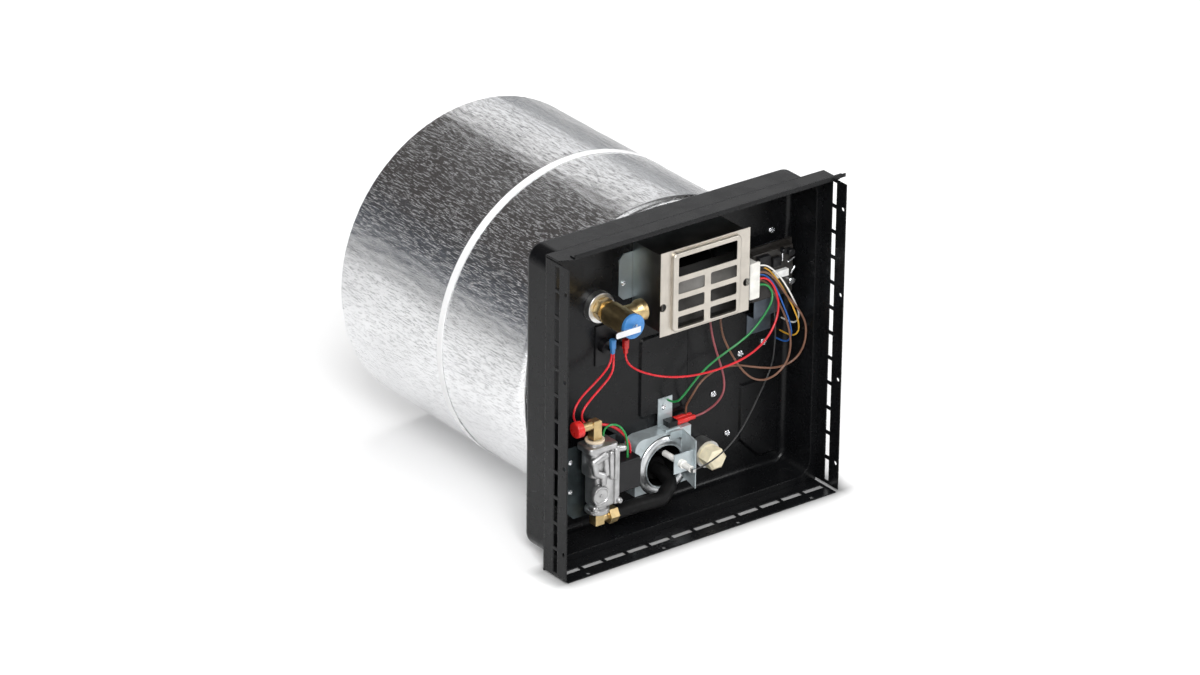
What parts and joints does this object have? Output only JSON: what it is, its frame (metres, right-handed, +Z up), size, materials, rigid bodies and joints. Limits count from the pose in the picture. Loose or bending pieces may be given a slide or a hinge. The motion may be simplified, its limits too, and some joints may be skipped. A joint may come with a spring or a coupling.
{
  "type": "water heater",
  "caption": "Gas tank water heater for a vehicle wall: square black control pan with folding flanges, valve, burner, grille and wiring in front of a foil-wrapped horizontal tank.",
  "frame": {"origin": "underside of the bottom flange, at the middle of its row of bend slots", "axes": "+X right and +Z up as seen from the front, +Y back along the tank"},
  "size_m": [0.415, 0.472, 0.4105],
  "materials": {
    "black_paint": "gloss",
    "galvanised": "satin",
    "grille_metal": "satin",
    "foil": "crinkled",
    "white_tape": "matte",
    "glass_wool": "matte",
    "tank_alloy": "satin",
    "die_cast": "cast",
    "steel": "satin",
    "bright_steel": "bright",
    "brass": "satin",
    "blue_plastic": "satin",
    "red_plastic": "satin",
    "nylon": "satin",
    "black_plastic": "matte",
    "potting": "satin",
    "plug_plastic": "satin",
    "ceramic": "glazed",
    "red_wire": "satin",
    "green_wire": "satin",
    "brown_wire": "satin",
    "pink_wire": "satin",
    "blue_wire": "satin",
    "yellow_wire": "satin",
    "white_wire": "satin",
    "grey_wire": "satin"
  },
  "bodies": {
    "heater": {"control_pan": "black_paint", "left_flange": "black_paint", "right_flange": "black_paint", "bottom_flange": "black_paint", "top_flange": "black_paint", "drip_rail": "black_paint", "pan_screws": "steel", "tank_shell": "tank_alloy", "insulation_blanket": "glass_wool", "foil_jacket": "foil", "tank_strap": "white_tape", "flue_tube": "tank_alloy", "water_fittings": "tank_alloy", "exhaust_box": "galvanised", "exhaust_baffle": "galvanised", "exhaust_grille": "grille_metal", "relief_spud": "tank_alloy", "relief_valve_body": "brass", "relief_cap": "blue_plastic", "relief_spring": "steel", "drain_spud": "tank_alloy", "thermostat_plate": "galvanised", "thermostat_switches": "black_plastic", "blue_terminal": "blue_plastic", "red_terminal": "red_plastic", "control_board": "potting", "board_connector": "plug_plastic", "board_bracket": "galvanised", "gas_valve_body": "die_cast", "valve_coil": "black_plastic", "plunger_spring": "steel", "gas_inlet_elbow": "brass", "gas_inlet_cap": "red_plastic", "gas_outlet_elbow": "brass", "gas_valve_bracket": "galvanised", "manifold_tube": "black_paint", "main_burner": "steel", "burner_hood": "galvanised", "electrode_bracket": "galvanised", "spark_electrode": "ceramic", "electrode_rods": "steel", "ground_bracket": "galvanised", "thermal_cutoff": "black_plastic", "cutoff_terminals": "red_plastic", "red_lead_main": "red_wire", "red_lead_a": "red_wire", "red_lead_b": "red_wire", "green_lead": "green_wire", "valve_green_lead": "green_wire", "brown_lead_outer": "brown_wire", "brown_lead_inner": "brown_wire", "pink_lead": "pink_wire", "spark_lead": "grey_wire", "blue_lead": "blue_wire", "yellow_lead": "yellow_wire", "white_lead": "white_wire"},
    "relief_stem": {"relief_stem": "steel"},
    "relief_lever": {"relief_lever": "bright_steel"},
    "drain_plug": {"drain_plug": "nylon"},
    "valve_plunger": {"valve_plunger": "steel"}
  },
  "joints": [
    {"name": "relief_lift", "type": "slide", "parent": "heater", "child": "relief_stem", "axis": [0, -1, 0], "range_m": [0, 0.003], "stiffness_N_per_m": 400, "deforming": ["relief_spring"]},
    {"name": "lever_turn", "type": "hinge", "parent": "relief_stem", "child": "relief_lever", "pos_m": [-0.0915, -0.004, 0.292], "axis": [0, 0, 1], "range_deg": [0, 80]},
    {"name": "plug_unscrew", "type": "hinge", "parent": "heater", "child": "drain_plug", "pos_m": [0.0635, 0.0545, 0.0603], "axis": [0, -1, 0], "range_deg": [0, 1800]},
    {"name": "plunger_lift", "type": "slide", "parent": "heater", "child": "valve_plunger", "axis": [1, 0, 0], "range_m": [0, 0.0025], "stiffness_N_per_m": 400, "deforming": ["plunger_spring"]}
  ],
  "couplings": [
    {"joint": "lever_turn", "follows": "relief_lift", "rad_per_m": 465.42}
  ]
}
